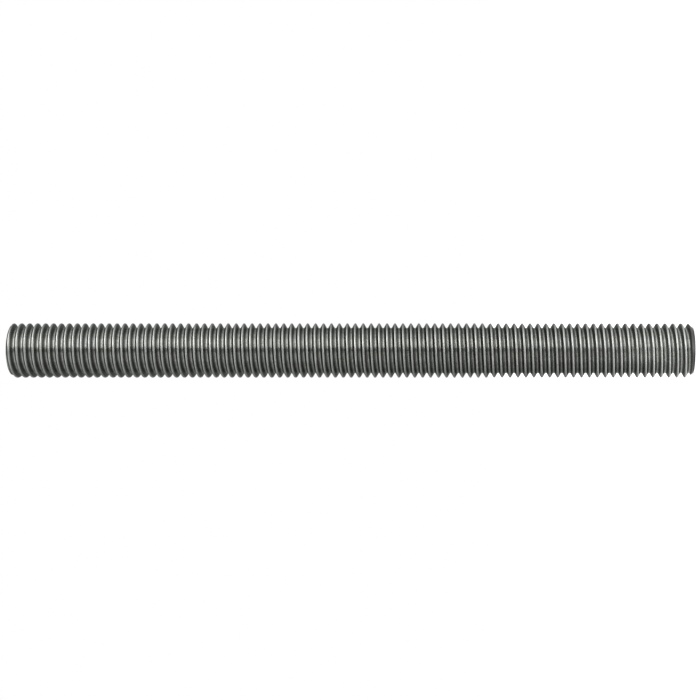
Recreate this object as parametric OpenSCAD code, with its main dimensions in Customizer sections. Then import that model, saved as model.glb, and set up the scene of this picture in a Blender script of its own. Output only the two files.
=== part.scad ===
// Fully threaded anchor rod: one length of round steel bar with a right-hand thread all along it,
// cut off square and chamfered at both ends. It stands on its lower end, centred on the origin,
// and its axis is +Z.

/* [Rod] */
// Length over both end faces
rod_length = 150; // [60:1:250]
// Nominal diameter, over the crests of the thread
thread_d = 12; // [10:0.5:16]
// Chamfer of the lower end, which goes into the hole, both inwards and along the rod
hole_end_chamfer = 1.1; // [0.3:0.1:2.5]
// Chamfer of the upper end, which takes the nut, both inwards and along the rod
nut_end_chamfer = 0.5; // [0.3:0.1:2.5]

/* [Thread] */
// Rise of the thread in one turn
pitch = 1.75; // [1.25:0.05:3]
// Angle between the two flanks of the groove
flank_angle = 60; // [50:1:70]
// Width of the land left on the crest
crest_flat = 0.22; // [0.15:0.01:0.4]
// Width of the bottom of the groove
root_flat = 0.29; // [0.15:0.01:0.4]

/* [Hidden] */

// The flanks fall from the crest to the root at half the angle between them
crest_r = thread_d / 2;
flank_slope = tan(flank_angle / 2);
thread_depth = (pitch - crest_flat - root_flat) / 2 / flank_slope;
root_r = crest_r - thread_depth;

// What the chamfers leave of the end faces
hole_end_r = crest_r - hole_end_chamfer;
nut_end_r = crest_r - nut_end_chamfer;

// The groove runs one turn past both end faces, so that they cut it off clean
groove_turns = rod_length / pitch + 2;

// The groove's cutter has four sides of two triangles at each step, and a longer thread gets
// fewer steps in a turn, which keeps the number of triangles down
cutter_triangles = 11800;
finest_turn = 36;
turn_steps = min(finest_turn, floor(cutter_triangles / groove_turns / 8));
groove_steps = ceil(groove_turns * turn_steps);

// Corners stand out by this factor, so that the flats between them lie about the true radius,
// and the middle of a flat is then this share of it
corner_growth = 2 / (1 + cos(180 / turn_steps));
flat_share = corner_growth * cos(180 / turn_steps);

// The cutter's outer side clears the crest by this much, also at the middle of a flat
cutter_clearance = 0.01;
cutter_r = (crest_r + cutter_clearance) / flat_share;

// A corner of the cutter's profile as distance from the axis and height, at the radius r,
// below the groove's middle with side -1 and above it with side 1
function groove_corner(r, side) =
    [r * corner_growth, side * (root_flat / 2 + (r - root_r) * flank_slope)];

groove_profile = [
    groove_corner(root_r, -1),
    groove_corner(cutter_r, -1),
    groove_corner(cutter_r, 1),
    groove_corner(root_r, 1),
];

// Where a corner of the profile lies after a number of steps up the right-hand helix
function on_helix(corner, step) =
    let (turn = step / turn_steps)
    [
        corner[0] * cos(360 * turn),
        corner[0] * sin(360 * turn),
        corner[1] + (turn - 1) * pitch
    ];

module thread_groove() {
    corners = len(groove_profile);
    last = groove_steps * corners;
    polyhedron(
        points = [
            for (step = [0 : groove_steps], corner = groove_profile)
                on_helix(corner, step)
        ],
        faces = [
            [for (i = [corners - 1 : -1 : 0]) i],
            [for (i = [0 : corners - 1]) last + i],
            for (step = [0 : groove_steps - 1], i = [0 : corners - 1])
                let (
                    a = step * corners + i,
                    b = step * corners + (i + 1) % corners
                )
                each [[a, b, b + corners], [a, b + corners, a + corners]]
        ]
    );
}

// The round bar with its chamfered ends, before the thread is cut
module chamfered_bar() {
    rotate_extrude($fn = 96)
        polygon([
            [0, 0],
            [hole_end_r, 0],
            [crest_r, hole_end_chamfer],
            [crest_r, rod_length - nut_end_chamfer],
            [nut_end_r, rod_length],
            [0, rod_length],
        ]);
}

module anchor_rod() {
    color([0.56, 0.57, 0.55])
        difference() {
            chamfered_bar();
            thread_groove();
        }
}

anchor_rod();
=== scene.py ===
"""The looks of a fully threaded anchor rod: its rounded thread, its plated steel, a pale floor,
soft studio light and a camera at the photograph's viewing angle. Lengths are in millimetres
until they go into a mesh, an object or a shader, which are in metres."""

import math

import bpy
from mathutils import Matrix, Vector


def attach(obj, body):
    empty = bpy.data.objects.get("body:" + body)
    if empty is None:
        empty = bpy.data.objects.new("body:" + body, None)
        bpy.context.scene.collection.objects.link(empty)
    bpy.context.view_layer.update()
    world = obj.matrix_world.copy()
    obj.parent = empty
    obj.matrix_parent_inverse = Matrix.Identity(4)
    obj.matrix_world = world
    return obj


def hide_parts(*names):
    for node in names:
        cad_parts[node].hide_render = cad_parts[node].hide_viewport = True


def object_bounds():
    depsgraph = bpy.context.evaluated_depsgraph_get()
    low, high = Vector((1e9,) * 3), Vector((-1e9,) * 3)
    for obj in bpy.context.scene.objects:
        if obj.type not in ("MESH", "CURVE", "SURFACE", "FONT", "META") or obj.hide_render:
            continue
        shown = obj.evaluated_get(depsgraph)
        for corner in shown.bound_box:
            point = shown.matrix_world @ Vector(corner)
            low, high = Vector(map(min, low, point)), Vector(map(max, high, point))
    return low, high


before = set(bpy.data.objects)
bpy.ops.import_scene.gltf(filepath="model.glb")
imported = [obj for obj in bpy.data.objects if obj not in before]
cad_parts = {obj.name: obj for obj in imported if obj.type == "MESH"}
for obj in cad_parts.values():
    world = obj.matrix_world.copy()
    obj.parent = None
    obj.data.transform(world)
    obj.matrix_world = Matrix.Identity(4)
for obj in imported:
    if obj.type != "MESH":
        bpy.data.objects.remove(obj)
cad_low, cad_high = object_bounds()

MM = 0.001

# The rod, from the frame
ROD_LENGTH = (cad_high.z - cad_low.z) / MM
CREST_R = (cad_high.x - cad_low.x) / 2 / MM

# The thread. The middle of its groove passes azimuth 0, which is +X, at each whole turn.
PITCH = 1.75
FLANK_TILT = math.radians(60)
ROOT_R = 4.94
CREST_ROUND = 0.23
HOLE_END_CHAMFER = 1.1
NUT_END_CHAMFER = 0.5

# How finely the thread is made: steps in a turn, and in each rounding. It is made longer than
# the rod by some turns at each end, and cut off by a bar that is wider than its crests.
TURN_STEPS = 90
ROOT_STEPS = 2
CREST_STEPS = 3
END_STEPS = 144
SPARE_TURNS = 2
BAR_SPARE = 0.4
SHARP_ANGLE = math.radians(38)

# The plating's tone is a mix of broad clouds and small spots. Its colour changes from dark to
# light between two tones, and both colours are multiplied by the gain.
CLOUD_SHARE, SPOT_SHARE = 0.6, 0.4
PLATING_TONES = (0.38, 0.62)
PLATING_DARK = (0.34, 0.345, 0.33, 1)
PLATING_LIGHT = (0.42, 0.425, 0.41, 1)
PLATING_GAIN = 2.1
# The share of that colour by height in the groove, which is 0 at the root and 1 on the crest
# These shares are painted light: painted shade on the darker flanks, and painted highlights on the
# lighter crest and root
PAINTED_GROOVE_LIGHT = ((0.0, 0.72), (0.11, 0.68), (0.20, 0.25), (0.76, 0.25), (0.92, 1.0))
# The same share on the cut faces, from the darkest mark to the lightest, and how many times
# lighter and how metallic the end faces are
CUT_SHADES = (0.10, 0.21)
END_GAIN = 1.8
END_METAL = 0.4
# Roughness of the dark and the light plating, between two tones, what the worn crest adds,
# between two heights in the groove, and the cut faces
ROUGH_TONES = (0.35, 0.65)
PLATING_ROUGH = (0.29, 0.23)
WORN_HEIGHTS = (0.85, 1.0)
CREST_WEAR = 0.11
CUT_ROUGH = 0.42
# How near the surface lies to the plain bar's outline where it counts as cut
CUT_MARGIN = 0.02

# What the steel mirrors of the surroundings: the tint, the strength in front of the rod and
# behind it, and the strength close to straight down. Each pair with WAY in its name is where
# that change begins and ends along one part of a mirrored ray's direction.
STUDIO_TINT = (0.95, 1.0, 0.96, 1)
STUDIO_DIM = (0.15, 0.20)
DIM_WAY_Y = (-0.2, 0.7)
STUDIO_GLOW = 1.2
GLOW_WAY_Z = (-0.87, -0.97)
GLOW_WAY_X = (-0.03, 0.06)

# The softboxes, which stand round the rod: name, first and last angle round the rod, in
# degrees from the camera towards +X, top, and radiance
SOFTBOX_DISTANCE = 420
SOFTBOX_FOOT = 60
SOFTBOXES = (
    ("key_light", 15.4, 62, 700, 1.95),
    ("side_light", 62, 95, 700, 0.88),
    ("rim_light", 95, 125, 400, 0.28),
    ("low_fill", -62, -8, 600, 0.62),
    ("low_rim", -105, -62, 400, 0.3),
)
# The lights on the floor, which shine up: name, middle, size, radiance and shape
FLOOR_LIGHT_Z = 0.2
FLOOR_LIGHTS = (
    ("bounce", (20, 0), (120, 120), 0.5, "DISK"),
    ("front_bounce", (6, -29), (90, 22), 1.3, "RECTANGLE"),
)
FLOOR_REACH = 20000.0

# The photograph's frame is a square of this many pixels. The view meets the rod's axis at
# right angles at FOOT_X, and the middle of the rod is at MIDDLE_X.
PICTURE = 700
FOOT_X = 485.0
MIDDLE_X = 352.5
AXIS_Y = 350.5
PX_PER_MM = 4.535
VIEW_DISTANCE = 350.0
SENSOR = 36.0


def groove_profile():
    """The thread's outline over one pitch, from the middle of a groove upwards, as pairs of
    height and distance from the axis. Crest and root are round, with straight flanks between."""
    crest_edge = PITCH / 2 - CREST_ROUND * math.sin(FLANK_TILT)
    crest_fall = CREST_ROUND * (1 - math.cos(FLANK_TILT))
    root_edge = crest_edge - (CREST_R - crest_fall - ROOT_R) / math.tan(FLANK_TILT)
    root_round = root_edge / math.tan(FLANK_TILT / 2)
    half = []
    for i in range(ROOT_STEPS + 1):
        a = FLANK_TILT * i / ROOT_STEPS
        half.append((root_round * math.sin(a), ROOT_R + root_round * (1 - math.cos(a))))
    for i in range(CREST_STEPS + 1):
        a = FLANK_TILT * (1 - i / CREST_STEPS)
        half.append((PITCH / 2 - CREST_ROUND * math.sin(a), CREST_R - CREST_ROUND * (1 - math.cos(a))))
    return half + [(PITCH - z, r) for z, r in half[-2:0:-1]]


def new_piece(name, verts, faces):
    mesh = bpy.data.meshes.new(name)
    mesh.from_pydata([(x * MM, y * MM, z * MM) for x, y, z in verts], [], faces)
    piece = bpy.data.objects.new(name, mesh)
    bpy.context.scene.collection.objects.link(piece)
    return piece


def endless_thread(name):
    """A closed threaded bar that runs past both ends of the rod."""
    profile = groove_profile()
    rows = len(profile)
    last_row = rows * (math.ceil(ROD_LENGTH / PITCH) + 2 * SPARE_TURNS)
    verts = []
    for row in range(last_row + 1):
        dz, r = profile[row % rows]
        for step in range(TURN_STEPS):
            turn = row // rows - SPARE_TURNS + step / TURN_STEPS
            a = 2 * math.pi * step / TURN_STEPS
            verts.append((r * math.cos(a), r * math.sin(a), turn * PITCH + dz))

    def at(row, step):
        # the step after a turn's last one is the first step of the same line, one turn up
        return (row + step // TURN_STEPS * rows) * TURN_STEPS + step % TURN_STEPS

    faces = []
    for row in range(last_row):
        for step in range(TURN_STEPS):
            # the top turn has no turn above it for its last step to join
            if step == TURN_STEPS - 1 and row + 1 + rows > last_row:
                continue
            faces.append((at(row, step), at(row, step + 1), at(row + 1, step + 1), at(row + 1, step)))

    # Each open end is closed by a fan from a point on the axis
    low_rim = [at(0, step) for step in range(TURN_STEPS)] + [at(row, 0) for row in range(rows, 0, -1)]
    high_rim = [at(last_row, step) for step in range(TURN_STEPS)]
    high_rim += [at(row, TURN_STEPS - 1) for row in range(last_row - 1, last_row - rows - 1, -1)]
    for rim, flip in ((low_rim, True), (high_rim, False)):
        apex = len(verts)
        verts.append((0, 0, verts[rim[0]][2]))
        for a, b in zip(rim, rim[1:] + rim[:1]):
            faces.append((b, a, apex) if flip else (a, b, apex))
    return new_piece(name, verts, faces)


def chamfered_bar(name, outer_r):
    """A plain bar, wider than the thread, with the rod's end faces and chamfers."""
    low_r, high_r = CREST_R - HOLE_END_CHAMFER, CREST_R - NUT_END_CHAMFER
    outline = [
        (low_r, 0),
        (outer_r, outer_r - low_r),
        (outer_r, ROD_LENGTH - (outer_r - high_r)),
        (high_r, ROD_LENGTH),
    ]
    verts = []
    for r, z in outline:
        for step in range(END_STEPS):
            a = 2 * math.pi * step / END_STEPS
            verts.append((r * math.cos(a), r * math.sin(a), z))
    faces = []
    for ring in range(len(outline) - 1):
        for step in range(END_STEPS):
            a = ring * END_STEPS + step
            b = ring * END_STEPS + (step + 1) % END_STEPS
            faces.append((a, b, b + END_STEPS, a + END_STEPS))
    faces.append(list(range(END_STEPS - 1, -1, -1)))
    faces.append([len(verts) - END_STEPS + step for step in range(END_STEPS)])
    return new_piece(name, verts, faces)


def make_rod():
    """The thread, cut off by the chamfered bar."""
    rod = endless_thread("threaded_rod")
    bar = chamfered_bar("bar_cutter", CREST_R + BAR_SPARE)
    cut = rod.modifiers.new("ends", "BOOLEAN")
    cut.operation = "INTERSECT"
    cut.solver = "MANIFOLD"
    cut.object = bar
    bpy.context.view_layer.update()
    graph = bpy.context.evaluated_depsgraph_get()
    mesh = bpy.data.meshes.new_from_object(rod.evaluated_get(graph))
    rod.modifiers.clear()
    rod.data = mesh
    bpy.data.objects.remove(bar)
    mesh.shade_smooth()
    mesh.set_sharp_from_angle(angle=SHARP_ANGLE)
    return rod


class Nodes:
    """Adds nodes to a tree, each in one call."""

    def __init__(self, tree):
        tree.nodes.clear()
        self.tree = tree

    def add(self, kind, settings=(), **inputs):
        """A new node. An input is named by its socket, or by i and the socket's number."""
        node = self.tree.nodes.new(kind)
        for key, value in dict(settings).items():
            setattr(node, key, value)
        for key, value in inputs.items():
            numbered = key[0] == "i" and key[1:].isdigit()
            socket = node.inputs[int(key[1:]) if numbered else key]
            if isinstance(value, bpy.types.NodeSocket):
                self.tree.links.new(value, socket)
            else:
                socket.default_value = value
        return node

    def math(self, operation, a, b):
        return self.add("ShaderNodeMath", {"operation": operation}, i0=a, i1=b).outputs[0]

    def fit(self, value, source, target):
        """The value, taken from one range to another and held inside it."""
        return self.add("ShaderNodeMapRange", i0=value, i1=source[0], i2=source[1],
                        i3=target[0], i4=target[1]).outputs[0]

    def choose(self, switch, off, on):
        """The value off where the switch is 0, and on where it is 1."""
        return self.fit(switch, (0.0, 1.0), (off, on))


def steel_material():
    material = bpy.data.materials.new("plated_steel")
    material.use_nodes = True
    n = Nodes(material.node_tree)
    place = n.add("ShaderNodeTexCoord").outputs["Object"]
    x, y, z = n.add("ShaderNodeSeparateXYZ", i0=place).outputs
    across = n.add("ShaderNodeCombineXYZ", i0=x, i1=y, i2=0.0).outputs[0]
    radius = n.add("ShaderNodeVectorMath", {"operation": "LENGTH"}, i0=across).outputs["Value"]
    # 0 at the bottom of the groove, 1 on the crest
    height = n.fit(radius, (ROOT_R * MM, CREST_R * MM), (0.0, 1.0))

    # Fine lines left by rolling, drawn out round the rod
    along = n.add("ShaderNodeVectorMath", {"operation": "MULTIPLY"}, i0=place,
                  i1=(0.12, 0.12, 1.0)).outputs[0]
    lines = n.add("ShaderNodeTexNoise", Vector=along, Scale=5000.0, Detail=2.0, Roughness=0.5)

    clouds = n.add("ShaderNodeTexNoise", Vector=place, Scale=420.0, Detail=4.0, Roughness=0.6)
    spots = n.add("ShaderNodeTexNoise", Vector=place, Scale=2600.0, Detail=2.0, Roughness=0.5)
    tone = n.math("ADD", n.math("MULTIPLY", clouds.outputs["Fac"], CLOUD_SHARE),
                  n.math("MULTIPLY", spots.outputs["Fac"], SPOT_SHARE))
    plating = n.add("ShaderNodeValToRGB", i0=tone)
    dark, light = plating.color_ramp.elements
    dark.position, light.position = PLATING_TONES
    dark.color, light.color = PLATING_DARK, PLATING_LIGHT

    # Painted light: the flanks are darkened as painted shade, and the crest and the root are lightened
    # as painted highlights
    painted_groove_light = n.add("ShaderNodeValToRGB", i0=height)
    steps = painted_groove_light.color_ramp.elements
    steps.remove(steps[0])
    steps[0].position = PAINTED_GROOVE_LIGHT[0][0]
    for position, _ in PAINTED_GROOVE_LIGHT[1:]:
        steps.new(position)
    for step, (_, share) in zip(steps, PAINTED_GROOVE_LIGHT):
        step.color = (share, share, share, 1)

    # The end faces and the chamfers are cut, with fine marks round the axis. They are where the
    # surface lies on the plain outline of the chamfered bar. The end faces are a paler, matt grey.
    low_edge = n.math("SUBTRACT", n.math("SUBTRACT", radius, z), (CREST_R - HOLE_END_CHAMFER) * MM)
    high_edge = n.math("SUBTRACT", n.math("ADD", radius, z),
                       (CREST_R - NUT_END_CHAMFER + ROD_LENGTH) * MM)
    faces = n.math("MAXIMUM", n.math("SUBTRACT", 0.0, z), n.math("SUBTRACT", z, ROD_LENGTH * MM))
    outside = n.math("MAXIMUM", n.math("MAXIMUM", low_edge, high_edge), faces)
    cut = n.math("GREATER_THAN", outside, -CUT_MARGIN * MM)
    end = n.math("GREATER_THAN", faces, -CUT_MARGIN * MM)
    marks = n.add("ShaderNodeTexNoise", {"noise_dimensions": "1D"}, W=radius, Scale=7000.0, Detail=2.0)
    marks = n.fit(marks.outputs["Fac"], (0.3, 0.7), CUT_SHADES)
    marks = n.math("MULTIPLY", marks, n.choose(end, 1.0, END_GAIN))
    # The groove's painted shade and painted highlights on the thread, and the cut marks on the ends
    shade = n.choose(cut, painted_groove_light.outputs[0], marks)
    colour = n.add("ShaderNodeVectorMath", {"operation": "MULTIPLY"}, i0=plating.outputs[0],
                   i1=shade).outputs[0]
    colour = n.add("ShaderNodeVectorMath", {"operation": "SCALE"}, i0=colour,
                   Scale=PLATING_GAIN).outputs[0]

    # The darker plating is rougher, and so is the crest, where handling has worn it
    rough = n.fit(tone, ROUGH_TONES, PLATING_ROUGH)
    worn = n.fit(height, WORN_HEIGHTS, (0.0, CREST_WEAR))
    rough = n.choose(cut, n.math("ADD", rough, worn), CUT_ROUGH)
    metal = n.choose(end, 1.0, END_METAL)
    bump = n.add("ShaderNodeBump", Strength=0.05, Distance=0.00003, Height=lines.outputs["Fac"])
    shader = n.add("ShaderNodeBsdfPrincipled", **{"Base Color": colour, "Metallic": metal,
                                                  "Roughness": rough, "Normal": bump.outputs[0]})
    n.add("ShaderNodeOutputMaterial", Surface=shader.outputs[0])
    return material


def area_light(name, place, away, size, radiance, shape):
    """A light that shines against the direction away, and that the camera doesn't see."""
    light = bpy.data.lights.new(name, "AREA")
    light.shape = shape
    light.size, light.size_y = size[0] * MM, size[1] * MM
    area = light.size * light.size_y * (1 if shape == "RECTANGLE" else math.pi / 4)
    light.energy = radiance * math.pi * area
    lamp = bpy.data.objects.new(name, light)
    lamp.location = Vector(place) * MM
    lamp.rotation_mode = "QUATERNION"
    lamp.rotation_quaternion = Vector(away).to_track_quat("Z", "Y")
    lamp.visible_camera = False
    bpy.context.scene.collection.objects.link(lamp)


def standing_softbox(name, low_angle, high_angle, top, radiance):
    """A softbox beside the rod, turned to its axis."""
    a = math.radians((low_angle + high_angle) / 2)
    half = math.radians((high_angle - low_angle) / 2)
    away = Vector((math.sin(a), -math.cos(a), 0))
    place = away * SOFTBOX_DISTANCE + Vector((0, 0, (SOFTBOX_FOOT + top) / 2))
    size = (2 * SOFTBOX_DISTANCE * math.tan(half), top - SOFTBOX_FOOT)
    area_light(name, place, away, size, radiance, "RECTANGLE")


def make_world():
    """White where the camera looks past the rod, and on the floor. Where the steel mirrors it,
    dim, but bright on the +X side close to straight down, which lights the crests and leaves
    the flanks dark."""
    world = bpy.data.worlds.new("studio")
    world.use_nodes = True
    n = Nodes(world.node_tree)
    path = n.add("ShaderNodeLightPath")
    way = n.add("ShaderNodeTexCoord").outputs["Generated"]
    x, y, z = n.add("ShaderNodeSeparateXYZ", i0=way).outputs
    depth = n.fit(y, DIM_WAY_Y, STUDIO_DIM)
    glow = n.fit(z, GLOW_WAY_Z, (0.0, STUDIO_GLOW))
    side = n.fit(x, GLOW_WAY_X, (0.0, 1.0))
    strength = n.math("ADD", depth, n.math("MULTIPLY", glow, side))
    dim = n.add("ShaderNodeBackground", Color=STUDIO_TINT, Strength=strength)
    white = n.add("ShaderNodeBackground", Color=(1, 1, 1, 1), Strength=1.0)
    mix = n.add("ShaderNodeMixShader", i0=path.outputs["Is Glossy Ray"], i1=white.outputs[0],
                i2=dim.outputs[0])
    world.cycles.sampling_method = "NONE"
    n.add("ShaderNodeOutputWorld", Surface=mix.outputs[0])
    bpy.context.scene.world = world


def make_floor():
    """A pale, matt floor under the rod, which the steel doesn't mirror."""
    reach = FLOOR_REACH
    verts = [(-reach, -reach, 0), (reach, -reach, 0), (reach, reach, 0), (-reach, reach, 0)]
    floor = new_piece("floor", verts, [(0, 1, 2, 3)])
    material = bpy.data.materials.new("pale_floor")
    material.use_nodes = True
    shader = material.node_tree.nodes["Principled BSDF"]
    shader.inputs["Base Color"].default_value = (0.9, 0.9, 0.9, 1)
    shader.inputs["Roughness"].default_value = 0.9
    shader.inputs["Specular IOR Level"].default_value = 0.0
    shader.inputs["Emission Color"].default_value = (1, 1, 1, 1)
    shader.inputs["Emission Strength"].default_value = 0.55
    floor.data.materials.append(material)
    floor.visible_glossy = False


def make_camera():
    """The picture's right is the rod's lower end, and its upper side is +X."""
    middle_z = ROD_LENGTH / 2
    foot_z = middle_z - (FOOT_X - MIDDLE_X) / PX_PER_MM
    data = bpy.data.cameras.new("camera")
    data.sensor_width = SENSOR
    data.lens = PX_PER_MM * VIEW_DISTANCE * SENSOR / PICTURE
    data.shift_x = (PICTURE / 2 - FOOT_X) / PICTURE
    camera = bpy.data.objects.new("camera", data)
    right, up, back = Vector((0, 0, -1)), Vector((1, 0, 0)), Vector((0, -1, 0))
    turn = Matrix((right, up, back)).transposed().to_4x4()
    rise = (AXIS_Y - PICTURE / 2) / PX_PER_MM
    camera.matrix_world = Matrix.Translation((rise * MM, -VIEW_DISTANCE * MM, foot_z * MM)) @ turn
    bpy.context.scene.collection.objects.link(camera)
    bpy.context.scene.camera = camera


rod = make_rod()
rod.data.materials.clear()
rod.data.materials.append(steel_material())
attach(rod, "root")
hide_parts("anchor_rod")

make_camera()
make_floor()
make_world()
for name, low_angle, high_angle, top, radiance in SOFTBOXES:
    standing_softbox(name, low_angle, high_angle, top, radiance)
for name, (x, y), size, radiance, shape in FLOOR_LIGHTS:
    area_light(name, (x, y, FLOOR_LIGHT_Z), (0, 0, -1), size, radiance, shape)

bpy.context.scene.view_settings.view_transform = "Standard"
